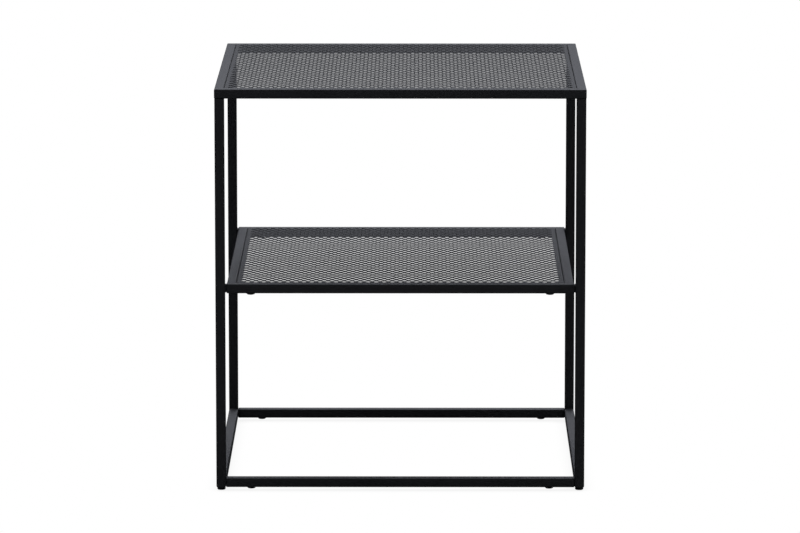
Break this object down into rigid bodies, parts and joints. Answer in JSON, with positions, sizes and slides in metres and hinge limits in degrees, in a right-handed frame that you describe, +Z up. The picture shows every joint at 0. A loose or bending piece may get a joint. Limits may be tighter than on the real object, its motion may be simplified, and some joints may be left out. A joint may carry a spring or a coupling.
{
  "type": "side table",
  "caption": "Square side table in slim black steel tube, with a perforated sheet top, a perforated middle shelf and an open floor loop on small glides.",
  "frame": {"origin": "on the floor, under the middle of the table", "axes": "+X to the right and +Y to the rear, seen from the front; +Z up. The front is at -Y."},
  "size_m": [0.46, 0.46, 0.506],
  "materials": {
    "frame_coat": "fine matt black powder coat on steel tube",
    "sheet_coat": "fine matt black powder coat on perforated steel sheet",
    "screw_black": "satin black low-head screw",
    "glide_plastic": "matt black moulded plastic"
  },
  "bodies": {
    "root": {"top_rail_front": "frame_coat", "top_rail_rear": "frame_coat", "top_rail_left": "frame_coat", "top_rail_right": "frame_coat", "top_panel": "sheet_coat", "top_spigot_front_left": "frame_coat", "top_spigot_front_right": "frame_coat", "top_spigot_rear_left": "frame_coat", "top_spigot_rear_right": "frame_coat", "leg_front_left": "frame_coat", "leg_front_right": "frame_coat", "leg_rear_left": "frame_coat", "leg_rear_right": "frame_coat", "base_rail_left": "frame_coat", "base_rail_right": "frame_coat", "base_rail_front": "frame_coat", "base_rail_rear": "frame_coat", "base_stub_front_left": "frame_coat", "base_stub_front_right": "frame_coat", "base_stub_rear_left": "frame_coat", "base_stub_rear_right": "frame_coat", "shelf_stub_front_left": "frame_coat", "shelf_stub_front_right": "frame_coat", "shelf_stub_rear_left": "frame_coat", "shelf_stub_rear_right": "frame_coat", "shelf_rail_front": "frame_coat", "shelf_rail_rear": "frame_coat", "shelf_rail_left": "frame_coat", "shelf_rail_right": "frame_coat", "shelf_panel": "sheet_coat", "base_screw_front_left": "screw_black", "base_screw_front_right": "screw_black", "base_screw_rear_left": "screw_black", "base_screw_rear_right": "screw_black", "shelf_screw_front_left": "screw_black", "shelf_screw_front_right": "screw_black", "shelf_screw_rear_left": "screw_black", "shelf_screw_rear_right": "screw_black", "top_screw_front_left": "screw_black", "top_screw_front_right": "screw_black", "top_screw_rear_left": "screw_black", "top_screw_rear_right": "screw_black", "foot_front_left": "glide_plastic", "foot_front_right": "glide_plastic", "foot_rear_left": "glide_plastic", "foot_rear_right": "glide_plastic"}
  },
  "joints": []
}
